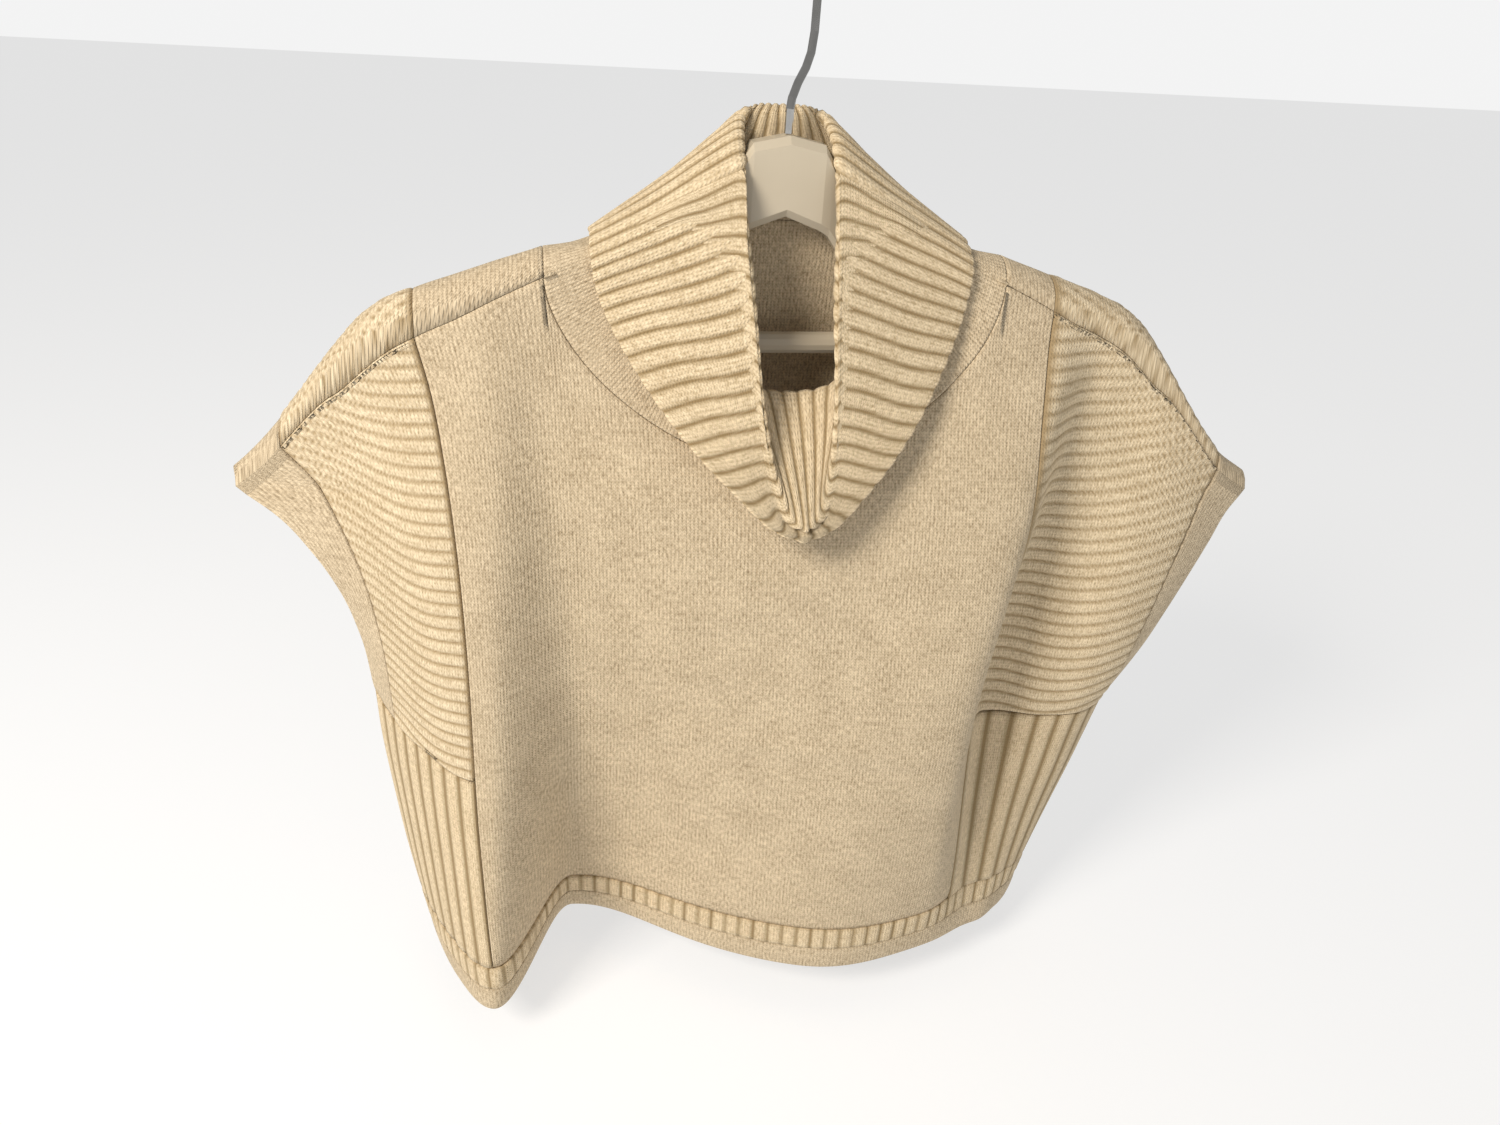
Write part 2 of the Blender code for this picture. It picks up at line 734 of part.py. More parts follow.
def rod(name, path, diameter, material, collection, sides=4):
    """A round wire or bar: a curve with a bevel and filled caps."""
    curve = bpy.data.curves.new(name, "CURVE")
    curve.dimensions = "3D"
    curve.bevel_depth = diameter / 2 * MM
    curve.bevel_resolution = sides
    curve.use_fill_caps = True
    curve.materials.append(material)
    spline = curve.splines.new("POLY")
    spline.points.add(len(path) - 1)
    for point, at in zip(spline.points, path):
        point.co = (*at, 1)
    obj = bpy.data.objects.new(name, curve)
    collection.objects.link(obj)
    return obj


def hanger_hook(material, collection):
    """A straight shank, an S to one side, and three quarters of a round loop over the rail."""
    radius = HOOK_INNER_RADIUS + HOOK_WIRE / 2
    centre = HOOK_INNER_RADIUS
    bend = [(0, 0), (0, 12), (0.06, 17), (0.3, 24), (0.65, 31), (0.86, 38), (0.96, 48)]
    plan = [(share * radius, HOOK_DROP - max(rise, SEAM_GAP)) for share, rise in bend]
    for angle in np.radians(np.arange(-8, 206, 12)):
        plan.append((radius * math.cos(angle), centre - radius * math.sin(angle)))
    turn = (math.cos(HOOK_SWIVEL), math.sin(HOOK_SWIVEL))
    path = [(a * turn[0] * MM, a * turn[1] * MM, -drop * MM) for a, drop in plan]
    return rod("hanger_hook", path, HOOK_WIRE, material, collection)


def hanger_bar(material, collection):
    path = [place(x, 0, BAR_DROP) for x in (-BAR_HALF_LENGTH, 0, BAR_HALF_LENGTH)]
    return rod("hanger_bar", path, BAR_DIAMETER, material, collection)


def new_material(name, colour, roughness, metallic=0.0):
    material = bpy.data.materials.new(name)
    material.use_nodes = True
    shader = material.node_tree.nodes["Principled BSDF"]
    shader.inputs["Base Color"].default_value = (*colour, 1)
    shader.inputs["Roughness"].default_value = roughness
    shader.inputs["Metallic"].default_value = metallic
    return material


def main():
    for obj in list(bpy.data.objects):
        bpy.data.objects.remove(obj)
    collection = bpy.data.collections.new("sleeveless_turtleneck_sweater")
    bpy.context.scene.collection.children.link(collection)
    plain = new_material("plain wool knit", (0.56, 0.44, 0.28), 0.9)
    ridged = new_material("ridged wool knit", (0.60, 0.48, 0.32), 0.9)
    rib = new_material("rib wool knit", (0.70, 0.55, 0.35), 0.9)
    ivory = new_material("moulded ivory plastic", (0.78, 0.73, 0.60), 0.45)
    chrome = new_material("chromed wire", (0.62, 0.62, 0.62), 0.2, 1.0)
    front_panel(plain, collection)
    back_panel(plain, collection)
    for side in (-1, 1):
        for front in (True, False):
            insert(side, front, ridged, collection)
            side_rib(side, front, rib, collection)
        armhole_band(side, plain, collection)
    hem_rib(rib, collection)
    hem_tube(plain, collection)
    neck_band(plain, collection)
    collar(rib, collection)
    hanger_body(ivory, collection)
    hanger_bar(ivory, collection)
    hanger_hook(chrome, collection)


main()
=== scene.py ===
# %% [markdown]
# # A sleeveless turtleneck sweater on its hanger
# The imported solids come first, as a fixed frame. Each piece of knit is then made again as a fine thin
# shell on the same form, with its ribs and ridges as real relief, because relief that is only painted
# on goes flat when it is seen from the side.

# %% Load the frame
import math

import bpy
import numpy as np
from mathutils import Matrix, Vector


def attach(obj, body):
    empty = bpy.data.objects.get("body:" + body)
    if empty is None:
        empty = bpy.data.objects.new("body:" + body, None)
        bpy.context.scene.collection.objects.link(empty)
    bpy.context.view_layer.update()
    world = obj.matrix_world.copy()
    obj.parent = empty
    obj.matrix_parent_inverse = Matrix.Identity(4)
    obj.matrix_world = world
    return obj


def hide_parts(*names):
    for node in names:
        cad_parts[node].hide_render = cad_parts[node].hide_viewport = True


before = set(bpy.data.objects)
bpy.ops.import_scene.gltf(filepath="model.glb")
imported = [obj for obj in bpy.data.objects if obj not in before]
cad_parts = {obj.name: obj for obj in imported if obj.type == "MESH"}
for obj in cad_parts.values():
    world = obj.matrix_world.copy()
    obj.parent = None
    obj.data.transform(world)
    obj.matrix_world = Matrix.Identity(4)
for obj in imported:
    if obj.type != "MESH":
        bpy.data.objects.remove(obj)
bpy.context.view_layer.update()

# %% [markdown]
# ## Sizes
# The garment is given in millimetres. x runs to the viewer's right, y away from the viewer, and a drop
# is measured down from the top of the hanger's body. A short table holds each outline.

# %% Named sizes
MM = 0.001
SEAM_GAP = 0.35
HOOK_DROP = 104.0
WALL = 2.4
COLLAR_WALL = 2.0
BAND_WALL = 2.0
HEM_DROP = 500.0
TIP_LEFT = 290.0
TIP_RIGHT = 312.0
HEM_LEFT = 208.0
HEM_RIGHT = 203.0
TIP_DROP = 186.0
UNDERARM_LEFT = 322.0
UNDERARM_RIGHT = 348.0
UNDERARM_MID = 350.0
NECK_HALF = 126.0
NECK_SIDE_DROP = 72.0
NECK_FRONT_DROP = 170.0
NECK_BACK_DROP = 45.0
NECK_POWER = 1.7
SIDE_POWER = 5.0
ARMHOLE_HALF_GAP = 17.0
SIDE_HALF_GAP = 0.6
INSERT_LEFT = 0.66
INSERT_RIGHT = 0.50
BAND_WIDTH = 26.0
COURSE_FALL = 26.0
HEM_RIB = 15.0
HEM_TUBE = 14.0
INSERT_RIDGES = 34
SIDE_RIBS = 8
COLLAR_RIBS = 66
HEM_RIBS = 118

# %% Tables and how they are read
def table(columns, rows):
    """The named columns of a short table, as arrays."""
    return dict(zip(columns.split(), np.array(rows, float).T))


def smooth(x, xs, ys):
    """A smooth curve through a table's points, level beyond its ends."""
    x = np.clip(np.asarray(x, float), xs[0], xs[-1])
    slope = np.gradient(ys, xs)
    i = np.clip(np.searchsorted(xs, x) - 1, 0, len(xs) - 2)
    h = xs[i + 1] - xs[i]
    t = (x - xs[i]) / h
    start = (1 + 2 * t) * (1 - t) ** 2 * ys[i] + t * (1 - t) ** 2 * h * slope[i]
    end = t**2 * (3 - 2 * t) * ys[i + 1] - t**2 * (1 - t) * h * slope[i + 1]
    return start + end


def ease(low, high, x):
    t = np.clip((x - low) / (high - low), 0, 1)
    return t * t * (3 - 2 * t)


SHOULDER = table(
    "x drop nose seam",
    [
        (0, 31, 13, 13),
        (60, 37, 13, 13),
        (98, 47, 13, 13),
        (126, 59, 13, 13),
        (150, 67, 13, 16),
        (170, 74, 13, 19),
        (190, 81, 13, 21),
        (208, 89, 13, 23),
        (220, 98, 11, 24),
        (230, 109, 9, 22),
        (240, 121, 8, 17),
        (255, 140, 7, 13),
        (272, 160, 6.5, 12),
        (290, 177, 6, 11),
        (312, 191, 6, 10),
    ],
)

EDGES = table(
    "drop left right",
    [
        (186, 290, 312),
        (200, 271, 301),
        (222, 253, 291),
        (247, 240, 281),
        (274, 233, 272),
        (322, 230, 259),
        (348, 229, 250),
        (391, 225, 238),
        (440, 219, 222),
        (486, 211, 207),
        (500, 208, 203),
    ],
)

FULLNESS = table(
    "drop front back",
    [
        (60, 0, 0),
        (100, 4, 4),
        (140, 14, 8),
        (190, 31, 14),
        (250, 42, 20),
        (330, 50, 28),
        (420, 53, 34),
        (500, 55, 38),
    ],
)

# A fold runs down the cloth. It is x mm across and out mm proud (or sunk) at three drops.
FOLD_DROPS = np.array([120.0, 310.0, 500.0])
FRONT_FOLDS = table(
    "x_high x_mid x_low out_high out_mid out_low left right",
    [
        (-152, -162, -168, 3, 12, 32, 26, 15),
        (-132, -110, -116, -3, -20, -62, 18, 52),
        (60, 55, 52, 0, 6, 16, 40, 45),
        (158, 120, 106, 8, 16, 0, 45, 12),
        (196, 154, 150, -12, -42, -6, 15, 34),
    ],
)
BACK_FOLDS = table(
    "x_high x_mid x_low out_high out_mid out_low left right",
    [
        (-150, -150, -142, 3, 10, 24, 26, 20),
        (-110, -98, -84, -3, -12, -26, 24, 34),
        (0, 6, 12, 2, 5, 10, 34, 34),
        (104, 90, 76, -3, -14, -28, 34, 24),
        (152, 148, 140, 4, 12, 24, 22, 26),
    ],
)

# Half the collar, by the share q of its round from the front middle to the back middle
COLLAR = table(
    "q fold_x fold_y fold_drop edge_x edge_y edge_drop mid_x mid_y mid_drop seam_x seam_y seam_drop",
    [
        (0.00, 0, -74, 190, 0, -73, 197, 0, -25, 130, 0, -34, 153),
        (0.05, 8, -72, 186, 16, -71, 191, 14, -27, 128, 20, -32, 150),
        (0.12, 14, -64, 170, 36, -64, 173, 30, -30, 118, 42, -27, 139),
        (0.25, 19, -50, 132, 64, -48, 143, 48, -26, 96, 68, -18, 115),
        (0.38, 21, -37, 88, 87, -30, 108, 56, -20, 72, 86, -14, 89),
        (0.50, 23, -26, 49, 99, -20, 80, 60, -17, 50, 95, -12.4, 69),
        (0.60, 24, -15, 21, 102, -16, 60, 60, -14, 36, 98, -9, 57),
        (0.68, 24, -2, 4, 101, -1, 50, 62, 1, 31, 98, 3, 55),
        (0.76, 22, 10, -6, 98, 16, 54, 52, 13, 24, 88, 13.2, 51),
        (0.86, 16, 16, -11, 58, 21, 65, 34, 13.6, 12, 58, 13.4, 38),
        (1.00, 0, 17, -12, 0, 22, 72, 0, 13.6, 4, 0, 13.4, 22),
    ],
)
COLLAR_LEAN = 7.0

# %% [markdown]
# ## The garment's form
# Every piece lies on one form: u goes from the left edge to the right one, and w from the shoulder to the
# underarm and on to the hem. Neighbours read the same form, so they meet along their seams.

# %% The form
def place(x, y, drop):
    """World points in metres, from millimetres and a drop."""
    return np.stack(np.broadcast_arrays(x, y, -(HOOK_DROP + np.asarray(drop))), -1) * MM


def shoulder(x, column):
    return smooth(np.abs(x), SHOULDER["x"], SHOULDER[column])


def tip(u):
    return np.where(u < 0, TIP_LEFT, TIP_RIGHT)


def underarm(u):
    side = np.where(u < 0, UNDERARM_LEFT, UNDERARM_RIGHT)
    return UNDERARM_MID + (side - UNDERARM_MID) * np.abs(u) ** 4


def edge_drop(u, w):
    """Drop of the garment's side edge at w: 0 at the shoulder, 1 at the underarm, 2 at the hem."""
    side = np.where(u < 0, UNDERARM_LEFT, UNDERARM_RIGHT)
    return np.where(w < 1, TIP_DROP + (side - TIP_DROP) * w, side + (HEM_DROP - side) * (w - 1))


def across(u, w):
    """x of the column u (-1 at the left edge, 1 at the right) at the level w."""
    reach = edge_drop(u, w)
    edge = np.where(u < 0, smooth(reach, EDGES["drop"], EDGES["left"]), smooth(reach, EDGES["drop"], EDGES["right"]))
    low = np.where(u < 0, HEM_LEFT, HEM_RIGHT)
    share = (tip(u) - edge) / (tip(u) - low)
    spread = u * (1 + 0.35 * (1 - u * u))
    return (1 - share) * tip(u) * u + share * low * spread


def neck_front(x):
    t = np.clip(np.abs(x) / NECK_HALF, 0, 1)
    return NECK_SIDE_DROP + (NECK_FRONT_DROP - NECK_SIDE_DROP) * (1 - t**NECK_POWER) ** (1 / NECK_POWER)


def neck_back(x):
    t = np.clip(np.abs(x) / NECK_HALF, 0, 1)
    return NECK_BACK_DROP + (NECK_SIDE_DROP - NECK_BACK_DROP) * t**2


def top_front(u):
    x = tip(u) * u
    seam = shoulder(x, "drop") + shoulder(x, "seam") + SEAM_GAP
    return np.where(np.abs(x) < NECK_HALF, neck_front(x), seam)


def top_back(u):
    x = tip(u) * u
    nose = shoulder(x, "drop") + shoulder(x, "nose")
    return np.where(np.abs(x) < NECK_HALF, neck_back(x), nose)


def level(u, drop, top):
    """w of a drop on the column u, whose cloth starts at the drop top."""
    under = underarm(u)
    return np.where(drop < under, (drop - top) / (under - top), 1 + (drop - under) / (HEM_DROP - under))


def drop_at(u, w, top):
    under = underarm(u)
    return np.where(w < 1, top + (under - top) * w, under + (HEM_DROP - under) * (w - 1))


def folds(rows, x, drop):
    """How far the folds push the cloth out at x and drop."""
    total = np.zeros(np.broadcast(x, drop).shape)
    for k in range(len(rows["left"])):
        crest = smooth(drop, FOLD_DROPS, np.array([rows["x_high"][k], rows["x_mid"][k], rows["x_low"][k]]))
        out = smooth(drop, FOLD_DROPS, np.array([rows["out_high"][k], rows["out_mid"][k], rows["out_low"][k]]))
        off = x - crest
        width = np.where(off < 0, rows["left"][k], rows["right"][k])
        total = total + out * np.exp(-0.5 * (off / width) ** 2)
    return total


def depth(u, x, drop, front):
    """How far the cloth's outer face stands from the hanger's middle plane."""
    top_x = tip(u) * u
    nose = shoulder(top_x, "nose")
    below = drop - shoulder(top_x, "drop")
    round_over = np.sqrt(np.clip(1 - (1 - np.clip(below / nose, 0, 1)) ** 2, 0, 1))
    side = np.where(u < 0, UNDERARM_LEFT, UNDERARM_RIGHT)
    t = np.clip((drop - TIP_DROP) / (side - TIP_DROP), 0, 1)
    gap = ARMHOLE_HALF_GAP * np.sin(np.pi * t) ** 0.7 + SIDE_HALF_GAP
    middle = 1 - np.abs(u) ** SIDE_POWER
    fullness = smooth(drop, FULLNESS["drop"], FULLNESS["front" if front else "back"])
    fold = folds(FRONT_FOLDS if front else BACK_FOLDS, x, drop) * (1 - np.abs(u) ** 10) * ease(0, 60, below)
    return round_over * (gap * (1 - middle) + (nose + fullness) * middle) + fold


def body(u, drop, front, top=None):
    """Points on the outer face of the front or the back, at column u and a drop."""
    u = np.asarray(u, float)
    if top is None:
        top = top_front(u) if front else top_back(u)
    w = np.clip(level(u, drop, top), 0, 2)
    x = across(u, w)
    y = depth(u, x, drop, front)
    return place(x, -y if front else y, drop)


def outward(u, drop, front, top=None):
    """The outer face's normals there, from points a hair apart."""
    u = np.asarray(u, float)
    if top is None:
        top = top_front(u) if front else top_back(u)
    along = body(u + 0.001, drop, front, top) - body(u - 0.001, drop, front, top)
    down = body(u, drop + 0.05, front, top) - body(u, np.maximum(drop - 0.05, top), front, top)
    normal = np.cross(down, along) if front else np.cross(along, down)
    return unit(normal)


def unit(v):
    return v / np.maximum(np.linalg.norm(v, axis=-1, keepdims=True), 1e-12)


def hem_level():
    """w where the panels end and the hem's ribs start, on the middle column."""
    return 1 + (HEM_DROP - HEM_TUBE - HEM_RIB - SEAM_GAP - UNDERARM_MID) / (HEM_DROP - UNDERARM_MID)


def around(q):
    """The share of the collar's round as a side (-1 left, 1 right) and a table place."""
    q = np.mod(q, 2.0)
    return np.where(q <= 1, 1.0, -1.0), np.where(q <= 1, q, 2 - q)


def collar_line(q, kind):
    side, share = around(q)
    x = smooth(share, COLLAR["q"], COLLAR[kind + "_x"])
    y = smooth(share, COLLAR["q"], COLLAR[kind + "_y"])
    drop = smooth(share, COLLAR["q"], COLLAR[kind + "_drop"])
    lean = COLLAR_LEAN * ease(20, 190, drop)
    return place(side * x + lean, y, drop)

# %% [markdown]
# ## From rows of points to a knitted shell
# Knit is a sheet with two faces. The outer face carries the ribs, the inner one stays plain, and a free
# edge is rounded between them. A grid of points with normals gives both faces, which a Solidify modifier
# could do too, but not with relief on one face only.

# %% Shell and fine sheets
def closer_ends(first, last, count):
    """Even steps, with two more lines close to each end, where a seam dips."""
    length = abs(last - first)
    near = np.array([0.004, 0.012]) * length * np.sign(last - first)
    even = np.linspace(first, last, count)
    return np.r_[even[0], first + near, even[1:-1], last - near[::-1], even[-1]]


def shell(name, points, normals, uv, material, slot, thick=WALL, lift=None, free_end=False, free_start=False, crest=None):
    """One closed knitted piece from a grid of points; crest is 1 on ribs and 0 in the furrows between, where the
    wool's colour is darkened as painted shade.
    """
    lift = np.zeros(points.shape[:2]) if lift is None else lift
    outer = points + normals * lift[..., None] * MM
    inner = points - normals * thick * MM
    rows = [*outer]
    maps = [*uv]
    crest = np.broadcast_to(1.0 if crest is None else crest, points.shape[:2])
    crests = [*crest]

    def roll(end, before):
        middle = (outer[end] + inner[end]) / 2
        half = (outer[end] - inner[end]) / 2
        along = unit(points[end] - points[before])
        reach = np.linalg.norm(half, axis=1, keepdims=True)
        turns = [math.radians(a) for a in (35, 70, 110, 145)]
        return [middle + half * math.cos(a) + along * reach * math.sin(a) for a in turns]

    if free_end:
        rows += roll(-1, -2)
        maps += [uv[-1]] * 4
        crests += [crest[-1]] * 4
    rows += [*inner[::-1]]
    maps += [*uv[::-1]]
    crests += [*crest[::-1]]
    if free_start:
        rows += roll(0, 1)[::-1]
        maps += [uv[0]] * 4
        crests += [crest[0]] * 4
    grid = np.array(rows)
    around_rows, columns = grid.shape[:2]
    index = np.arange(around_rows * columns).reshape(around_rows, columns)
    after = np.roll(index, -1, 0)
    quads = np.stack([index[:, :-1], after[:, :-1], after[:, 1:], index[:, 1:]], -1).reshape(-1, 4)
    count = len(points)
    back = len(rows) - 1 - (4 if free_start else 0)
    sides = []
    for column, turn in ((0, 1), (columns - 1, -1)):
        up = index[: count - 1, column]
        down = index[1:count, column]
        mate = index[back - np.arange(count), column]
        sides.append(np.stack([up, mate[:-1], mate[1:], down], -1)[:, ::turn])
    closed = np.allclose(points[:, 0], points[:, -1], atol=1e-7)
    if not closed:
        quads = np.vstack([quads, *sides])
    flat_map = np.array(maps).reshape(-1, 2)[quads.reshape(-1)]
    if closed:
        quads = np.where(quads % columns == columns - 1, quads - (columns - 1), quads)
    mesh = bpy.data.meshes.new(name)
    mesh.vertices.add(grid.shape[0] * columns)
    mesh.vertices.foreach_set("co", grid.reshape(-1))
    mesh.loops.add(quads.size)
    mesh.loops.foreach_set("vertex_index", quads.reshape(-1).astype(np.int32))
    mesh.polygons.add(len(quads))
    mesh.polygons.foreach_set("loop_start", np.arange(0, quads.size, 4, dtype=np.int32))
    mesh.update(calc_edges=True)
    layer = mesh.uv_layers.new(name="knit_mm")
    layer.data.foreach_set("uv", flat_map.reshape(-1))
    crest_layer = mesh.attributes.new("crest", "FLOAT", "POINT")
    crest_layer.data.foreach_set("value", np.array(crests).reshape(-1))
    a, b, c = (grid.reshape(-1, 3)[quads[:, k]] for k in (0, 1, 2))
    first = len(points) * (columns - 1) // 2
    facing = np.cross(b - a, c - a)[:first]
    if (facing * normals[:-1, :-1].reshape(-1, 3)[:first]).sum() < 0:
        mesh.flip_normals()
    mesh.shade_smooth()
    mesh.materials.append(material)
    piece = bpy.data.objects.new(name, mesh)
    bpy.context.scene.collection.objects.link(piece)
    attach(piece, "root")
    steps = np.linalg.norm(np.diff(points, axis=1), axis=2)
    falls = np.linalg.norm(np.diff(points, axis=0), axis=2)
    area = float((0.5 * (steps[:-1] + steps[1:]) * 0.5 * (falls[:, :-1] + falls[:, 1:])).sum())
    width = float(steps.sum(1).max())
    length = float(falls.sum(0).max())
    print(f"{name}: {2 * len(quads)} triangles, {area * 1e4:.0f} square cm")
    return piece, (width, length), area


def declare(made, nodes):
    """Hides the solids that a shell stands for and returns the shell; its flat size is worked out but not used."""
    piece, (width, length), area = made
    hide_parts(*nodes)
    area = min(area, width * length)
    area = max(area, 0.3 * width * length)
    return piece


def knit_map(u, drop, front):
    """How far across and down the knit each point lies, in millimetres."""
    x = tip(u) * u
    return np.stack(np.broadcast_arrays(x, drop), -1)


def fine_rows(u, levels, front):
    """Points, normals and knit map on the form, at columns u and levels w."""
    top = top_front(u) if front else top_back(u)
    drop = np.array([drop_at(u, w, top) for w in levels])
    wide = np.broadcast_to(u, drop.shape)
    tops = np.broadcast_to(top, drop.shape)
    points = body(wide, drop, front, tops)
    normals = outward(wide, drop, front, tops)
    return points, normals, knit_map(wide, drop, front), drop


def over_shoulder(u):
    """Fine rows of the back's knit that come forward over the shoulder, with their way up from the back."""
    x = tip(u) * u
    ridge = shoulder(x, "drop")
    nose = shoulder(x, "nose")
    seam = shoulder(x, "seam")
    points, normals, maps, rises = [], [], [], []
    turn = [(True, 1.0), (True, 0.8), (True, 0.62), (True, 0.45), (True, 0.3), (True, 0.18), (True, 0.09)]
    turn += [(True, 0.03), (False, 0.0), (False, 0.03), (False, 0.09), (False, 0.18), (False, 0.3)]
    turn += [(False, 0.45), (False, 0.62), (False, 0.8)]
    for k, (front, share) in enumerate(turn):
        drop = ridge + (nose * share if share < 1 or not front else seam)
        top = ridge + (seam if front else nose)
        points.append(body(u, drop, front, top))
        normals.append(outward(u, drop, front, np.minimum(top, drop - 1)))
        angle = np.arccos(np.clip(1 - share, -1, 1))
        way = nose * (np.pi / 2 + angle if front else np.pi / 2 - angle)
        rises.append(way)
        maps.append(np.stack([x, ridge + nose - way], -1))
    slope = np.gradient(ridge, x)
    normals[8] = unit(np.stack([slope, 0 * slope, np.ones_like(slope)], -1))
    return np.array(points), np.array(normals), np.array(maps), ridge + nose - np.array(rises)


def seam_dip(lift, sides, depth_mm=0.7):
    """Sinks the edge lines where a piece is linked to its neighbour."""
    lift = lift.copy()
    for axis, end in sides:
        for k, share in enumerate((1.0, 0.55)):
            place_at = k if end == 0 else -1 - k
            if axis == 0:
                lift[place_at] = lift[place_at] * (1 - share) - depth_mm * share
            else:
                lift[:, place_at] = lift[:, place_at] * (1 - share) - depth_mm * share
    return lift


# %% [markdown]
# ## Wool knit
# Fine mélange wool is spun from light and dark fibres, so it looks flecked close up, and its loops stand
# in upright columns called wales. The real wales are about 1 mm wide, which is too fine to show here, so
# they are drawn at 2.2 mm. Noise could draw both, but the columns of V-shaped loops need a pattern that
# follows the cloth, so it is worked out from each piece's own map in millimetres.
# Besides the fibres' fleck, the colour is darkened where the loops dip: painted shade.

# %% Colours and the node helper
def linear(code):
    """An sRGB hex colour as linear values."""
    values = [int(code[k : k + 2], 16) / 255 for k in (0, 2, 4)]
    return (*[v / 12.92 if v <= 0.04045 else ((v + 0.055) / 1.055) ** 2.4 for v in values], 1)


def add(tree, kind, settings=None, links=None):
    """One node with its settings, and links to its inputs from (node, output) pairs."""
    node = tree.nodes.new(kind)
    for key, value in (settings or {}).items():
        if isinstance(key, str):
            setattr(node, key, value)
        else:
            node.inputs[key].default_value = value
    for key, (source, output) in (links or {}).items():
        tree.links.new(source.outputs[output], node.inputs[key])
    return node


# %% Wool materials
def wool(name, light, dark, shade, wale=2.2, course=1.7, relief=0.5):
    material = bpy.data.materials.new(name)
    material.use_nodes = True
    tree = material.node_tree
    shader = tree.nodes["Principled BSDF"]
    shader.inputs["Roughness"].default_value = 0.9
    shader.inputs["IOR"].default_value = 1.45
    shader.inputs["Specular IOR Level"].default_value = 0.25
    shader.inputs["Sheen Weight"].default_value = 0.25
    shader.inputs["Sheen Roughness"].default_value = 0.6
    shader.inputs["Sheen Tint"].default_value = linear("F3E6CC")
    cloth_map = add(tree, "ShaderNodeUVMap", {"uv_map": "knit_mm"})
    split = add(tree, "ShaderNodeSeparateXYZ", None, {0: (cloth_map, 0)})
    across_wales = add(tree, "ShaderNodeMath", {"operation": "DIVIDE", 1: wale}, {0: (split, 0)})
    place_in = add(tree, "ShaderNodeMath", {"operation": "FRACT"}, {0: (across_wales, 0)})
    centred = add(tree, "ShaderNodeMath", {"operation": "SUBTRACT", 1: 0.5}, {0: (place_in, 0)})
    off = add(tree, "ShaderNodeMath", {"operation": "ABSOLUTE"}, {0: (centred, 0)})
    courses = add(tree, "ShaderNodeMath", {"operation": "DIVIDE", 1: course}, {0: (split, 1)})
    slanted = add(tree, "ShaderNodeMath", {"operation": "SUBTRACT"}, {0: (courses, 0), 1: (off, 0)})
    wave = add(tree, "ShaderNodeMath", {"operation": "MULTIPLY", 1: 2 * math.pi}, {0: (slanted, 0)})
    loops = add(tree, "ShaderNodeMath", {"operation": "SINE"}, {0: (wave, 0)})
    loop_height = add(tree, "ShaderNodeMath", {"operation": "MULTIPLY_ADD", 1: 0.25, 2: 0.6}, {0: (loops, 0)})
    furrow = add(tree, "ShaderNodeMath", {"operation": "MULTIPLY"}, {0: (off, 0), 1: (off, 0)})
    height = add(
        tree, "ShaderNodeMath", {"operation": "MULTIPLY_ADD", 1: -2.2}, {0: (furrow, 0), 2: (loop_height, 0)}
    )
    stretched = add(tree, "ShaderNodeMapping", {3: (0.75, 0.32, 1.0)}, {0: (cloth_map, 0)})
    fibres = add(tree, "ShaderNodeTexNoise", {2: 1.0, 3: 3.0, 4: 0.65}, {0: (stretched, 0)})
    blotches = add(tree, "ShaderNodeTexNoise", {2: 0.05, 3: 2.0, 4: 0.5}, {0: (cloth_map, 0)})
    fleck = add(
        tree, "ShaderNodeMapRange", {1: 0.3, 2: 0.7}, {0: (fibres, 0)}
    )
    # The loops' height darkens the colour where the loops dip, between the wales and the courses: painted shade, added
    # to the fibres' real fleck.
    fleck_and_loop_shade = add(tree, "ShaderNodeMath", {"operation": "MULTIPLY_ADD", 1: 0.45}, {0: (height, 0), 2: (fleck, 0)})
    lean = add(tree, "ShaderNodeMath", {"operation": "MULTIPLY_ADD", 1: 0.5}, {0: (blotches, 0), 2: (fleck_and_loop_shade, 0)})
    share = add(tree, "ShaderNodeMapRange", {1: 0.25, 2: 1.35}, {0: (lean, 0)})
    ramp = add(tree, "ShaderNodeValToRGB", None, {0: (share, 0)})
    ramp.color_ramp.elements[0].color = linear(dark)
    ramp.color_ramp.elements[1].color = linear(light)
    # Painted shade: where the crest attribute is low, in the furrows of ribs and ridges, the colour turns to the shade
    # colour.
    on_crest = add(tree, "ShaderNodeAttribute", {"attribute_name": "crest"})
    lit = add(tree, "ShaderNodeMapRange", {1: 0.25, 2: 0.85}, {0: (on_crest, 2)})
    shaded_furrows = add(tree, "ShaderNodeMix", {"data_type": "RGBA", 6: linear(shade)}, {0: (lit, 0), 7: (ramp, 0)})
    tree.links.new(shaded_furrows.outputs[2], shader.inputs["Base Color"])
    rough = add(tree, "ShaderNodeMath", {"operation": "MULTIPLY_ADD", 1: 0.35}, {0: (fibres, 0), 2: (height, 0)})
    bump = tree.nodes.new("ShaderNodeBump")
    bump.inputs["Strength"].default_value = 0.8
    bump.inputs["Distance"].default_value = relief * MM
    tree.links.new(rough.outputs[0], bump.inputs["Height"])
    tree.links.new(bump.outputs[0], shader.inputs["Normal"])
    return material


# The third colour of each wool is the painted shade in the furrows of its ribs or ridges.
plain_wool = wool("melange wool, plain knit", "E0CDAE", "937F62", "937F62")
ridge_wool = wool("melange wool, ridged knit", "EEDCBC", "AD9672", "A68F6B", wale=2.0, course=2.2)
rib_wool = wool("melange wool, rib knit", "EDD9B7", "B09974", "967F5A", wale=1.9, course=1.9)
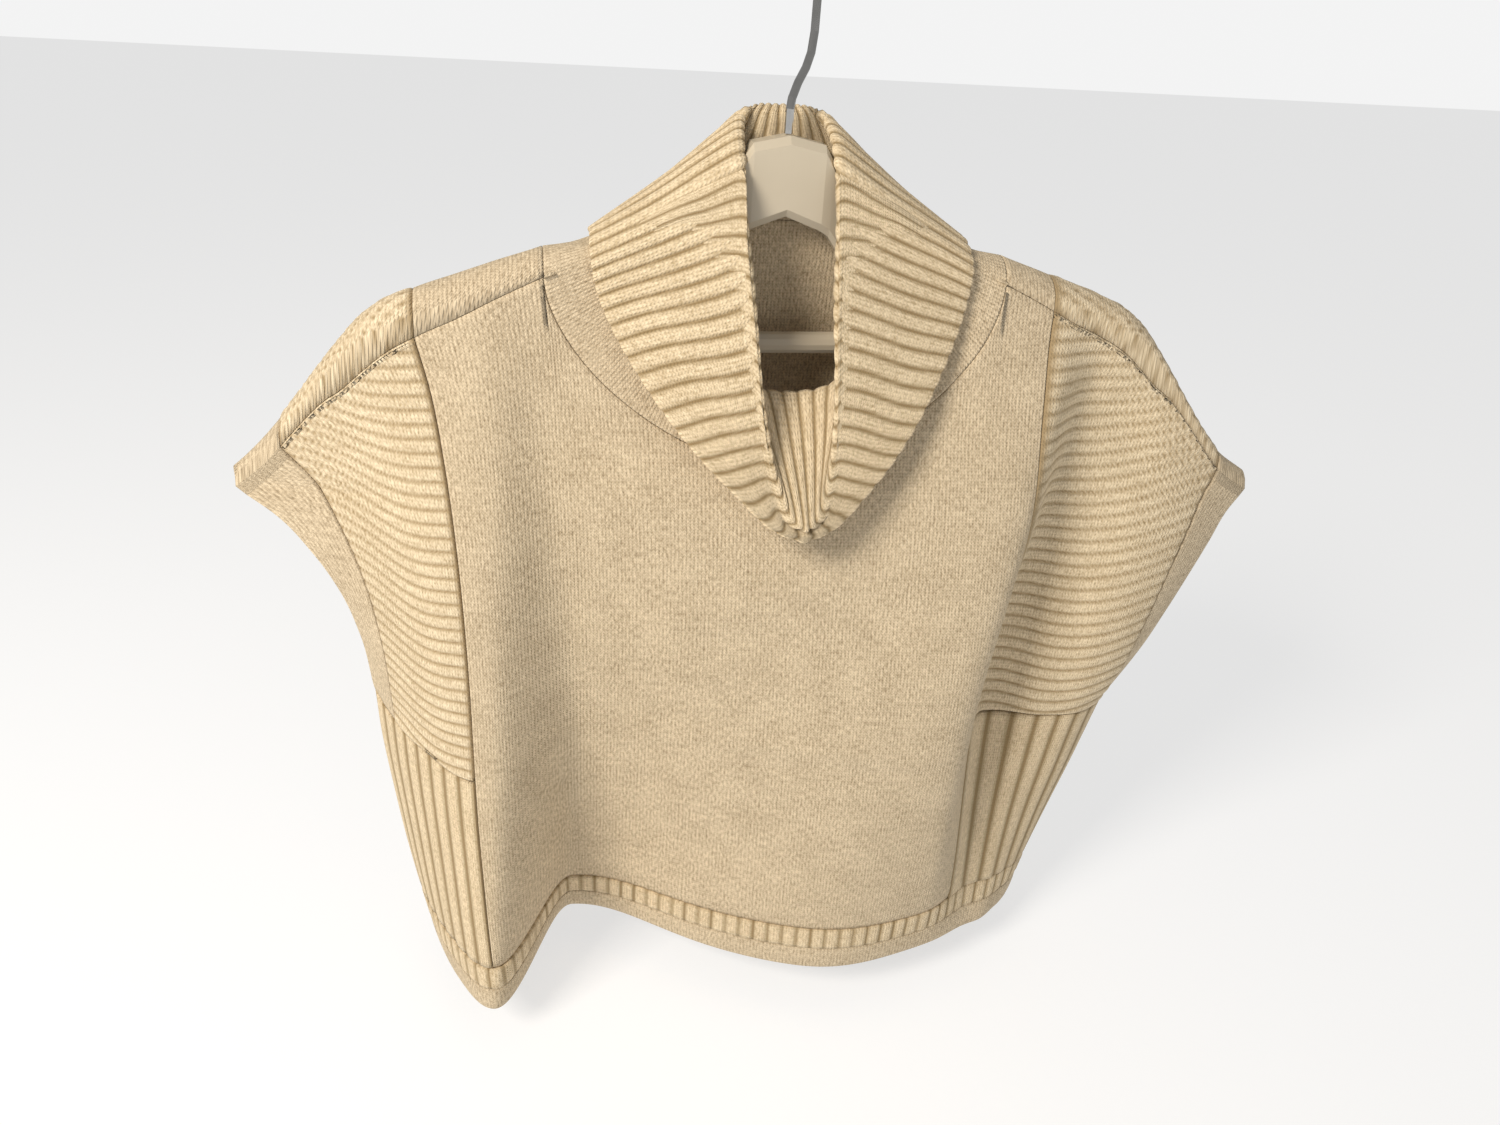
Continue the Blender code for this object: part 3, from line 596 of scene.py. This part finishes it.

# %% [markdown]
# ## Front and back panels
# Both are plain knit. The back's knit comes over the shoulder to a seam that lies forward of it. A
# cloth simulation could drape them, but the photo's own folds are wanted, so the folds are soft troughs
# and ridges in the form, and a few shallow creases are added here.

# %% Creases and the panels
CREASES = table(
    "x drop run high tilt deep",
    [
        (30, 338, 95, 5, 0.05, 0.7),
        (60, 352, 70, 5, 0.02, -0.6),
        (-95, 455, 50, 6, 0.10, 0.6),
        (-40, 250, 60, 14, -0.25, 0.8),
        (70, 262, 45, 16, 0.35, -0.9),
        (-150, 420, 30, 22, 0.2, 0.8),
        (120, 430, 30, 26, -0.3, 0.8),
        (-20, 420, 70, 18, 0.1, -0.8),
    ],
)


def creases(x, drop):
    """Millimetres that the shallow creases add at x and drop."""
    total = np.zeros(np.broadcast(x, drop).shape)
    for k in range(len(CREASES["x"])):
        along = (x - CREASES["x"][k]) / CREASES["run"][k]
        off_line = drop - CREASES["drop"][k] - CREASES["tilt"][k] * (x - CREASES["x"][k])
        total += CREASES["deep"][k] * np.exp(-(along**2) - (off_line / CREASES["high"][k]) ** 2)
    return total


def slackness(x, drop, phase):
    """The slight unevenness of hanging knit, in millimetres."""
    wave = np.sin(x / 23 + phase + drop / 61) + 0.6 * np.sin(x / 11 - drop / 37 + 2 * phase)
    return 0.22 * wave + 0.15 * np.sin(drop / 17 + x / 29 + phase)


def panel_lift(maps, phase):
    return creases(maps[..., 0], maps[..., 1]) + slackness(maps[..., 0], maps[..., 1], phase)


neck_lines = NECK_HALF * np.sin(np.linspace(0, np.pi / 2, 31))
left_lines = closer_ends(-INSERT_LEFT, -NECK_HALF / TIP_LEFT - 0.01, 34)
right_lines = closer_ends(NECK_HALF / TIP_RIGHT + 0.01, INSERT_RIGHT, 26)
panel_u = np.r_[left_lines, -neck_lines[::-1] / TIP_LEFT, neck_lines[1:] / TIP_RIGHT, right_lines]
upper = closer_ends(0, 1, 74)
lower = np.linspace(1, hem_level(), 44)[1:]
front_points, front_normals, front_map, _ = fine_rows(panel_u, np.r_[upper, lower], True)
front_lift = seam_dip(panel_lift(front_map, 0.4), [(0, 0), (0, 1), (1, 0), (1, 1)])
front_piece = shell(
    "front_knit", front_points, front_normals, front_map, plain_wool, "plain_knit", lift=front_lift
)
declare(front_piece, ["front_panel"])

back_points, back_normals, back_map, _ = fine_rows(panel_u, np.r_[upper, lower], False)
back_lift = seam_dip(panel_lift(back_map, 2.1), [(0, 1), (1, 0), (1, 1)])
back_piece = shell("back_knit", back_points, back_normals, back_map, plain_wool, "plain_knit", lift=back_lift)
declare(back_piece, ["back_panel"])

for side, lines in (("left", left_lines), ("right", right_lines)):
    reach = float(tip(lines[:1])[0])
    edge = -NECK_HALF / reach if side == "left" else NECK_HALF / reach
    lines = np.r_[lines, edge] if side == "left" else np.r_[edge, lines]
    points, normals, maps, _ = over_shoulder(lines)
    lift = seam_dip(np.zeros(points.shape[:2]), [(0, 0)], 0.5)
    yoke = shell(f"shoulder_{side}", points, normals, maps, plain_wool, "plain_knit", lift=lift)
    declare(yoke, ["back_panel"])

# %% [markdown]
# ## Ridged side inserts
# Each insert is knitted with raised ridges that run across it. The shoulder seam cuts the upper ones off
# and the knit goes on over the shoulder, where the ridges turn steep. A texture could draw them, but they
# show at the edge of the garment, so each one is a rounded wave in the outer face.

# %% Inserts and the side ribs below them
def rounded(phase, sharp=0.55):
    """A rounded rib: 1 on its crest, 0 in a narrow furrow, once for each whole number."""
    return np.abs(np.sin(np.pi * phase)) ** sharp


def insert_lines(side, count=46):
    reach = TIP_LEFT if side < 0 else TIP_RIGHT
    first = (INSERT_LEFT if side < 0 else INSERT_RIGHT) + 1.2 * SEAM_GAP / reach
    last = 1 - (BAND_WIDTH + 1.2 * SEAM_GAP) / reach
    lines = side * closer_ends(first, last, count)
    return lines, np.abs(lines - side * first) / (last - first)


def ridge_lift(share, drop, u, front):
    """The ridges' relief: each course sags from the plain panel towards the armhole."""
    start = (top_front(u) if front else top_back(u))[0]
    under = underarm(u) - SEAM_GAP
    course_start = start - COURSE_FALL * share**2
    sag = 5.0 * np.sin(np.pi * share) ** 2
    count = INSERT_RIDGES * (drop - sag - course_start) / (under - course_start)
    fade = ease(0, 0.05, share) * ease(1, 0.97, share)
    return 1.15 * rounded(count) * (0.25 + 0.75 * fade)


for side_name, side in (("left", -1), ("right", 1)):
    u, share = insert_lines(side)
    for front in (True, False):
        face = "front" if front else "back"
        levels = closer_ends(0, 1 - SEAM_GAP / 200, 290)
        points, normals, maps, drop = fine_rows(u, levels, front)
        lift = ridge_lift(share, drop, u, front)
        lift = seam_dip(lift, [(0, 1), (1, 0), (1, 1)] + ([(0, 0)] if front else []), 0.5)
        crest = ridge_lift(share, drop, u, front) / 1.15
        made = shell(
            f"insert_{face}_{side_name}_knit", points, normals, maps, ridge_wool, "ridged_knit", lift=lift, crest=crest
        )
        declare(made, [f"insert_{face}_{side_name}"])
    points, normals, maps, drop = over_shoulder(u)
    lift = seam_dip(ridge_lift(share, drop, u, False), [(0, 0), (1, 0), (1, 1)], 0.5)
    crest = ridge_lift(share, drop, u, False) / 1.15
    made = shell(
        f"insert_shoulder_{side_name}", points, normals, maps, ridge_wool, "ridged_knit", lift=lift, crest=crest
    )
    declare(made, [f"insert_back_{side_name}"])
    reach = TIP_LEFT if side < 0 else TIP_RIGHT
    first = (INSERT_LEFT if side < 0 else INSERT_RIGHT) + 1.2 * SEAM_GAP / reach
    columns = side * np.linspace(first, 1, 97)
    for front in (True, False):
        face = "front" if front else "back"
        points, normals, maps, _ = fine_rows(columns, np.linspace(1, hem_level(), 30), front)
        ribs = rounded(np.linspace(0, SIDE_RIBS, 97), 0.7)
        lift = np.repeat(ribs[None], 30, 0) * 0.8
        crest = lift / 0.8
        made = shell(
            f"side_ribs_{face}_{side_name}", points, normals, maps, rib_wool, "rib_knit", lift=lift, crest=crest
        )
        declare(made, [f"side_rib_{face}_{side_name}"])

# %% [markdown]
# ## Armhole bands
# A narrow plain band is linked round each armhole. It is one strip up the front, over the tip and down
# the back, with its outer edge rounded because nothing is sewn to it.

# %% Armhole bands
for side_name, side in (("left", -1), ("right", 1)):
    reach = TIP_LEFT if side < 0 else TIP_RIGHT
    u = side * np.linspace(1 - BAND_WIDTH / reach, 1, 12)
    end = 1 - 2.5 * SEAM_GAP / 150
    fore = fine_rows(u, np.linspace(0.03, end, 60), True)
    aft = fine_rows(u, np.linspace(0.0, end, 60), False)
    over = over_shoulder(u)
    points, normals, maps = (np.vstack([fore[k][::-1], over[k], aft[k]]) for k in range(3))
    flip = [array.transpose(1, 0, 2) for array in (points, normals, maps)]
    made = shell(f"armhole_{side_name}_knit", *flip, plain_wool, "plain_knit", thick=BAND_WALL, free_end=True)
    declare(made, [f"armhole_band_{side_name}"])

# %% [markdown]
# ## Hem
# A course of short ribs ends in a plain tube of knit. Both run right round, so their columns start and
# end at the middle of the back.

# %% Hem ribs and tube
def hem_piece(name, drops, count, material, slot, thick, ribs, node, free_end):
    half = np.linspace(0, 1, count // 2 + 1)
    sweep = 0.55 * (2 * half - 1) - 0.45 * np.cos(np.pi * half)
    middle = count // 4
    back_first = -sweep[middle:]
    back_last = -sweep[: middle + 1]
    rows = []
    for drop in drops:
        parts = [(back_first, False), (sweep[1:-1], True), (back_last, False)]
        rows.append(np.vstack([body(u, np.full(len(u), drop), front) for u, front in parts]))
    points = np.array(rows)
    length = np.r_[0, np.cumsum(np.linalg.norm(np.diff(points[0], axis=0), axis=1))] / MM
    step = np.gradient(points[0], axis=0)
    turned = unit(np.stack([step[:, 1], -step[:, 0], 0 * step[:, 0]], -1))
    turned *= np.sign((turned * (points[0] - points[0].mean(0))).sum())
    normals = np.repeat(turned[None], len(drops), 0)
    maps = np.stack(np.broadcast_arrays(length[None], np.array(drops)[:, None]), -1)
    lift = np.zeros(points.shape[:2])
    crest = None
    if ribs:
        crest = rounded(ribs * length / length[-1])[None]
        lift += 1.0 * rounded(ribs * length / length[-1])[None]
        lift[0] *= 0.4
        lift[-1] *= 0.4
    else:
        fullness = np.sin(np.pi * np.linspace(0.12, 0.9, len(drops)))
        lift += 0.9 * fullness[:, None]
    made = shell(name, points, normals, maps, material, slot, thick=thick, lift=lift, free_end=free_end, crest=crest)
    declare(made, [node])


rib_low = HEM_DROP - HEM_TUBE - SEAM_GAP
rib_drops = np.linspace(rib_low - HEM_RIB + SEAM_GAP, rib_low, 7)
hem_piece("hem_ribs", rib_drops, 4 * 236, rib_wool, "rib_knit", WALL, HEM_RIBS, "hem_rib", False)
tube_drops = np.linspace(HEM_DROP - HEM_TUBE, HEM_DROP, 9)
hem_piece("hem_roll", tube_drops, 4 * 120, plain_wool, "plain_knit", WALL + 0.6, 0, "hem_tube", True)

# %% [markdown]
# ## Collar
# The collar is a tube of 66 ribs that rises from the neck seam and folds outward, so its free edge lies
# on the shoulders. Each rib runs up the inside, over the fold and down the outside, so one grid with a
# rib in every ten columns makes all of it.

# %% Collar
rib_columns = 10
collar_q = np.linspace(-1, 1, COLLAR_RIBS * rib_columns + 1)
fold = collar_line(collar_q, "fold")
edge = collar_line(collar_q, "edge")
mid = collar_line(collar_q, "mid")
seam = collar_line(collar_q, "seam")
between = (fold + edge) / 2
crown = np.minimum(0.8 * MM, 0.03 * np.linalg.norm(edge - fold, axis=1, keepdims=True))
outer_middle = between + crown * unit(between - mid)
down_between = unit(outer_middle - fold + (mid - fold) * 0.6)
apart = outer_middle - mid
apart = unit(apart - down_between * (apart * down_between).sum(1, keepdims=True))
turn = np.minimum(4.0 * MM, 0.3 * np.linalg.norm(outer_middle - fold, axis=1, keepdims=True))
LAYER_HALF = 2.5 * MM
knots = [
    seam,
    mid,
    0.5 * mid + 0.5 * (fold + down_between * turn - apart * LAYER_HALF),
    fold + down_between * turn - apart * LAYER_HALF,
    fold,
    fold + down_between * turn + apart * LAYER_HALF,
    outer_middle,
    edge,
]
knot_place = np.array([0.0, 2.0, 3.2, 4.4, 4.8, 5.2, 7.4, 10.0])
fine_place = np.r_[np.linspace(0, 4.2, 15), np.linspace(4.4, 5.2, 9), np.linspace(5.5, 10, 24)]


def through(knots, knot_place, fine_place):
    """A smooth curve through rows of points, at finer places along it."""
    knots = np.array(knots)
    slope = np.zeros_like(knots)
    for k in range(len(knots)):
        low, high = max(k - 1, 0), min(k + 1, len(knots) - 1)
        slope[k] = (knots[high] - knots[low]) / (knot_place[high] - knot_place[low])
    rows = []
    for s in fine_place:
        k = int(np.clip(np.searchsorted(knot_place, s) - 1, 0, len(knots) - 2))
        h = knot_place[k + 1] - knot_place[k]
        t = (s - knot_place[k]) / h
        row = (1 + 2 * t) * (1 - t) ** 2 * knots[k] + t * (1 - t) ** 2 * h * slope[k]
        rows.append(row + t * t * (3 - 2 * t) * knots[k + 1] - t * t * (1 - t) * h * slope[k + 1])
    return np.array(rows)


collar_points = through(knots, knot_place, fine_place)
down_rows = np.gradient(collar_points, axis=0)
across_columns = np.gradient(collar_points, axis=1)
across_columns[:, 0] = across_columns[:, -1] = collar_points[:, 1] - collar_points[:, -2]
collar_normals = unit(np.cross(down_rows, across_columns))
outer_rows = fine_place > 6
collar_normals *= np.sign((collar_normals[outer_rows] * apart[None]).sum())
rib_phase = np.linspace(0, COLLAR_RIBS, len(collar_q)) + 0.5
wander = 0.10 * np.sin(fine_place[:, None] * 1.3 + collar_q[None] * 9)
collar_lift = 1.25 * rounded(rib_phase[None] + wander, 0.6)
collar_lift[0] = 0
along = np.r_[0, np.cumsum(np.linalg.norm(np.diff(collar_points, axis=0), axis=2).mean(1))] / MM
collar_map = np.stack(np.broadcast_arrays(rib_phase[None] * 7.6, along[:, None]), -1)
collar_made = shell(
    "collar_knit",
    collar_points,
    collar_normals,
    collar_map,
    rib_wool,
    "rib_knit",
    thick=COLLAR_WALL,
    lift=collar_lift,
    free_end=True,
    crest=collar_lift / 1.25,
)
declare(collar_made, ["collar"])

# %% [markdown]
# ## Neck band
# A shaped band joins the body's neck edge to the collar's seam. The collar's ribs run a little way into
# it before they fade, which shows beside the collar on the left shoulder.

# %% Neck band
def neck_edge(count=60):
    """The body's neck edge on one side and then the other, from the back middle round to it."""
    x = NECK_HALF * np.sin(np.linspace(0, np.pi / 2, count))
    halves = []
    for side in (1, -1):
        reach = tip(np.array(side))
        u = side * x / reach
        fore = body(u, neck_front(x), True, np.minimum(top_front(u), neck_front(x)))
        fore_out = outward(u, neck_front(x), True)
        aft = body(u, neck_back(x), False, np.minimum(top_back(u), neck_back(x)))
        aft_out = outward(u, neck_back(x), False)
        ends = side * np.array([NECK_HALF - 0.5, NECK_HALF]) / reach
        over = over_shoulder(ends)
        line = np.vstack([fore, over[0][1:, 1], aft[::-1]])
        out = np.vstack([fore_out, over[1][1:, 1], aft_out[::-1]])
        shares = np.r_[np.linspace(0, 0.56, count), np.linspace(0.57, 0.75, 15), np.linspace(0.76, 1, count)]
        halves.append((line, out, shares))
    right, left = halves
    line = np.vstack([left[0][::-1], right[0][1:]])
    out = np.vstack([left[1][::-1], right[1][1:]])
    return line, out, np.r_[-left[2][::-1], right[2][1:]]


neck_line, neck_out, neck_shares = neck_edge()
seam_line = collar_line(neck_shares, "seam")
toward = unit(seam_line - neck_line)
start_line = neck_line + toward * 0.3 * MM
reach_back = 1.0 + 2.0 * ease(0.6, 0.74, around(neck_shares)[1])
end_line = seam_line - toward * reach_back[:, None] * MM
band_rows = closer_ends(0, 1, 16)[:, None, None]
band_points = start_line * (1 - band_rows) + end_line * band_rows
band_down = np.gradient(band_points, axis=0)
band_across = np.gradient(band_points, axis=1)
band_normals = unit(np.cross(band_down, band_across))
band_normals *= np.sign((band_normals * neck_out[None]).sum())
blend_in = ease(0.5, 0.0, band_rows)
band_normals = unit(neck_out[None] * blend_in + band_normals * (1 - blend_in))
fading = ease(0.45, 0.95, band_rows[..., 0])
round_way = np.r_[0, np.cumsum(np.linalg.norm(np.diff(seam_line, axis=0), axis=1))]
band_lift = 0.9 * rounded(COLLAR_RIBS * round_way / round_way[-1])[None] * fading
band_lift = seam_dip(band_lift, [(0, 0)], 0.5)
wide_way = np.r_[0, np.cumsum(np.linalg.norm(np.diff(neck_line, axis=0), axis=1))] / MM
band_map = np.stack(np.broadcast_arrays(wide_way[None], band_rows[..., 0] * 26), -1)
band_made = shell(
    "neck_band_knit", band_points, band_normals, band_map, plain_wool, "plain_knit", thick=2.0, lift=band_lift
)
declare(band_made, ["neck_band"])

# %% [markdown]
# ## Hanger
# The arms and the bar are moulded ABS in ivory, with the soft gloss that a polished mould leaves, and the
# hook is chromed steel wire. Their solids already have the right shape, so they only get finishes.
# The ivory is coloured darker than the plastic, as painted shade.

# %% Hanger finishes
def moulded_ivory():
    material = bpy.data.materials.new("ivory ABS, moulded")
    material.use_nodes = True
    tree = material.node_tree
    shader = tree.nodes["Principled BSDF"]
    shader.inputs["IOR"].default_value = 1.53
    shader.inputs["Roughness"].default_value = 0.38
    place_on = add(tree, "ShaderNodeTexCoord")
    cloud = add(tree, "ShaderNodeTexNoise", {2: 30.0, 3: 3.0}, {0: (place_on, 3)})
    ramp = add(tree, "ShaderNodeValToRGB", None, {0: (cloud, 0)})
    # Both ivory colours are darker than the plastic's own: painted shade, for the shade that the collar casts on the
    # hanger.
    ramp.color_ramp.elements[0].color = linear("BDB19B")
    ramp.color_ramp.elements[1].color = linear("CBBFA9")
    tree.links.new(ramp.outputs[0], shader.inputs["Base Color"])
    grain = add(tree, "ShaderNodeTexNoise", {2: 900.0, 3: 2.0}, {0: (place_on, 3)})
    bump = tree.nodes.new("ShaderNodeBump")
    bump.inputs["Strength"].default_value = 0.15
    bump.inputs["Distance"].default_value = 0.05 * MM
    tree.links.new(grain.outputs[0], bump.inputs["Height"])
    tree.links.new(bump.outputs[0], shader.inputs["Normal"])
    return material


def chromed_wire():
    material = bpy.data.materials.new("steel wire, chromed")
    material.use_nodes = True
    tree = material.node_tree
    shader = tree.nodes["Principled BSDF"]
    shader.inputs["Metallic"].default_value = 1.0
    shader.inputs["Roughness"].default_value = 0.14
    place_on = add(tree, "ShaderNodeTexCoord")
    wear = add(tree, "ShaderNodeTexNoise", {2: 120.0, 3: 3.0}, {0: (place_on, 3)})
    ramp = add(tree, "ShaderNodeValToRGB", None, {0: (wear, 0)})
    ramp.color_ramp.elements[0].color = linear("B4B2AE")
    ramp.color_ramp.elements[1].color = linear("D6D5D2")
    tree.links.new(ramp.outputs[0], shader.inputs["Base Color"])
    return material


ivory = moulded_ivory()
chrome = chromed_wire()
for node_name, finish in (("hanger_body", ivory), ("hanger_bar", ivory), ("hanger_hook", chrome)):
    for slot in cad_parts[node_name].material_slots:
        slot.material = finish

# %% [markdown]
# ## Camera, floor and light
# The camera stands where the photo's did, found by matching the hanger and the outline. The light is one
# large soft box from the upper left over an even pale surround.

# %% Camera
AZIMUTH, ELEVATION, DISTANCE = -13.0, 6.0, 630.0
PAN, PITCH, ROLL, FOCAL_PIXELS = 0.5, 26.5, 3.7, 1150.0
a, e = math.radians(AZIMUTH), math.radians(ELEVATION)
eye = DISTANCE * np.array([math.sin(a) * math.cos(e), -math.cos(a) * math.cos(e), math.sin(e)])
heading, pitch, roll_turn = (math.radians(v) for v in (AZIMUTH + PAN, PITCH, ROLL))
forward = np.array([-math.sin(heading) * math.cos(pitch), math.cos(heading) * math.cos(pitch), -math.sin(pitch)])
level_right = np.array([math.cos(heading), math.sin(heading), 0.0])
level_up = np.cross(level_right, forward)
right = level_right * math.cos(roll_turn) + level_up * math.sin(roll_turn)
upward = -level_right * math.sin(roll_turn) + level_up * math.cos(roll_turn)
camera_data = bpy.data.cameras.new("camera")
camera_data.sensor_width = 36
camera_data.lens = 36 * FOCAL_PIXELS / 1500
camera_data.clip_start = 0.01
camera = bpy.data.objects.new("camera", camera_data)
bpy.context.scene.collection.objects.link(camera)
matrix = Matrix.Identity(4)
for k in range(3):
    matrix[k][0], matrix[k][1], matrix[k][2] = right[k], upward[k], -forward[k]
    matrix[k][3] = (eye[k] - (HOOK_DROP if k == 2 else 0)) * MM
camera.matrix_world = matrix
bpy.context.scene.camera = camera

# %% Floor and light
floor_mesh = bpy.data.meshes.new("floor")
FLOOR_Z = -(HOOK_DROP + HEM_DROP + 34) * MM
floor_mesh.from_pydata([(-9, -9, FLOOR_Z), (9, -9, FLOOR_Z), (9, 9, FLOOR_Z), (-9, 9, FLOOR_Z)], [], [(0, 1, 2, 3)])
floor = bpy.data.objects.new("floor", floor_mesh)
bpy.context.scene.collection.objects.link(floor)
paper = bpy.data.materials.new("pale floor")
paper.use_nodes = True
sweep = paper.node_tree.nodes["Principled BSDF"]
sweep.inputs["Base Color"].default_value = linear("ABABAB")
sweep.inputs["Roughness"].default_value = 0.9
sweep.inputs["Specular IOR Level"].default_value = 0.0
sweep.inputs["Emission Color"].default_value = linear("FFFFFF")
sweep.inputs["Emission Strength"].default_value = 0.64
floor_mesh.materials.append(paper)
world = bpy.data.worlds.new("surround")
bpy.context.scene.world = world
world.use_nodes = True
surround = world.node_tree
light_path = add(surround, "ShaderNodeLightPath")
seen_or_lit = add(surround, "ShaderNodeMapRange", {3: 0.30, 4: 0.90}, {0: (light_path, 0)})
surround.nodes["Background"].inputs[0].default_value = linear("FFFFFF")
surround.links.new(seen_or_lit.outputs[0], surround.nodes["Background"].inputs[1])
bpy.context.scene.view_settings.view_transform = "Standard"


def soft_box(name, at, aim, size, power, colour):
    lamp = bpy.data.lights.new(name, "AREA")
    lamp.size = size
    lamp.energy = power
    lamp.color = linear(colour)[:3]
    holder = bpy.data.objects.new(name, lamp)
    bpy.context.scene.collection.objects.link(holder)
    holder.location = at
    holder.rotation_euler = (Vector(at) - Vector(aim)).to_track_quat("Z", "Y").to_euler()


soft_box("key light", (-1.1, -0.9, 0.7), (0, 0, -0.35), 0.55, 28.0, "FFF8EE")
soft_box("fill light", (0.4, -1.6, 0.9), (0, 0, -0.35), 1.2, 2.0, "FFFFFF")
